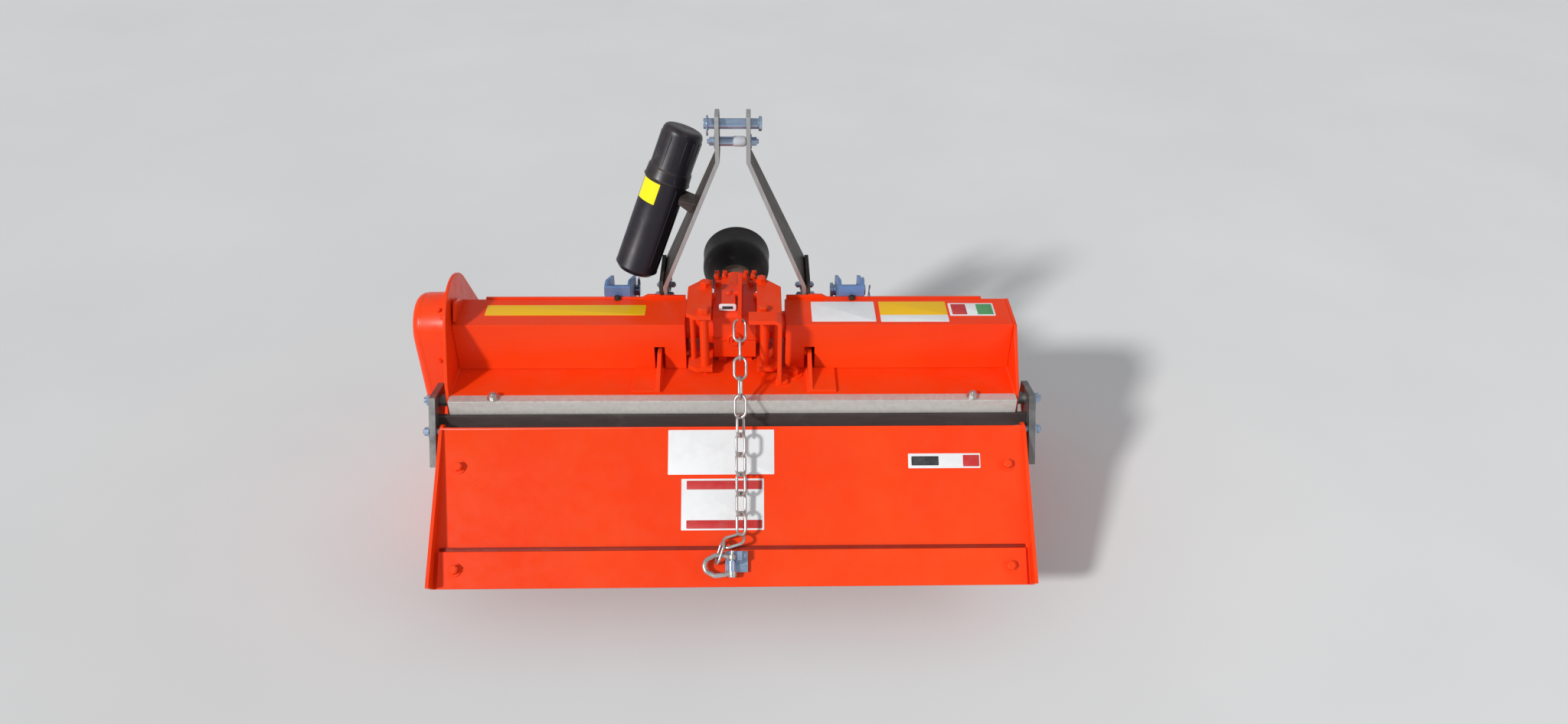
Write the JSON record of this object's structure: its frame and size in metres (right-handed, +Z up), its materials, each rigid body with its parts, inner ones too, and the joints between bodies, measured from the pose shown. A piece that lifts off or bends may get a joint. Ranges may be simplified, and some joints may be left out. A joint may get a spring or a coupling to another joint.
{
  "type": "stone burier",
  "caption": "Three-point stone burier with a hooded power-driven rotor, side chain case, sieving comb and a chain-held rear levelling board",
  "frame": {"origin": "on the floor under the centre of the box round the whole machine", "axes": "+X to the machine's right, +Y forward to the linkage, +Z up; the middle plane lies 8.5 mm to the right of the origin"},
  "size_m": [1.183, 0.6854, 0.824],
  "materials": {
    "orange_paint": "gloss",
    "painted_casting": "satin",
    "black_paint": "satin",
    "mill_steel": "satin",
    "galvanised_steel": "satin",
    "zinc_plate": "satin",
    "black_plastic": "matte",
    "bare_steel": "satin",
    "blade_steel": "matte"
  },
  "bodies": {
    "frame": {"arm_left": "mill_steel", "arm_right": "mill_steel", "axle_tube_left": "orange_paint", "axle_tube_right": "orange_paint", "beam_cover_left": "orange_paint", "beam_cover_right": "orange_paint", "chain": "zinc_plate", "chain_case": "orange_paint", "chain_case_cover": "orange_paint", "chain_fin": "orange_paint", "clamp_left": "orange_paint", "clamp_right": "orange_paint", "comb": "black_paint", "cross_plate": "mill_steel", "document_tube": "black_plastic", "front_rail_left": "orange_paint", "front_rail_right": "orange_paint", "galvanised_bar": "galvanised_steel", "gearbox": "painted_casting", "guard_bell": "black_plastic", "guard_ring": "orange_paint", "hitch_bracket_left": "zinc_plate", "hitch_bracket_right": "zinc_plate", "hitch_pin_left": "zinc_plate", "hitch_pin_right": "zinc_plate", "hood": "orange_paint", "level_plug": "painted_casting", "mast_leg_left": "mill_steel", "mast_leg_right": "mill_steel", "mast_shoe_left": "orange_paint", "mast_shoe_right": "orange_paint", "mast_spacer": "zinc_plate", "rotor_bearing": "painted_casting", "side_bracket": "orange_paint", "side_plate_left": "orange_paint", "side_plate_right": "orange_paint", "skid_left": "orange_paint", "skid_right": "orange_paint", "tie_left": "orange_paint", "tie_right": "orange_paint", "top_pin": "zinc_plate", "tube_bracket": "black_paint", "tube_cap": "black_plastic"},
    "rotor": {"rotor": "black_paint", "rotor_blades": "blade_steel"},
    "input": {"input_shaft": "bare_steel"},
    "board": {"board_strip": "orange_paint", "chain_lug": "zinc_plate", "hinge_bolt_left": "zinc_plate", "hinge_bolt_right": "zinc_plate", "rear_board": "orange_paint", "shackle": "zinc_plate"}
  },
  "joints": [
    {"name": "rotor_spin", "type": "hinge", "parent": "frame", "child": "rotor", "pos_m": [0.0085, 0.09265, 0.175], "axis": [1, 0, 0], "continuous": true},
    {"name": "input_spin", "type": "hinge", "parent": "frame", "child": "input", "pos_m": [0.0085, 0.24215, 0.424], "axis": [0, 1, 0], "continuous": true},
    {"name": "board_lift", "type": "hinge", "parent": "frame", "child": "board", "pos_m": [0.0085, -0.09935, 0.311], "axis": [-1, 0, 0], "range_deg": [0, 50], "deforming": ["chain"]}
  ],
  "couplings": [
    {"joint": "input_spin", "follows": "rotor_spin", "ratio": 2.7}
  ]
}
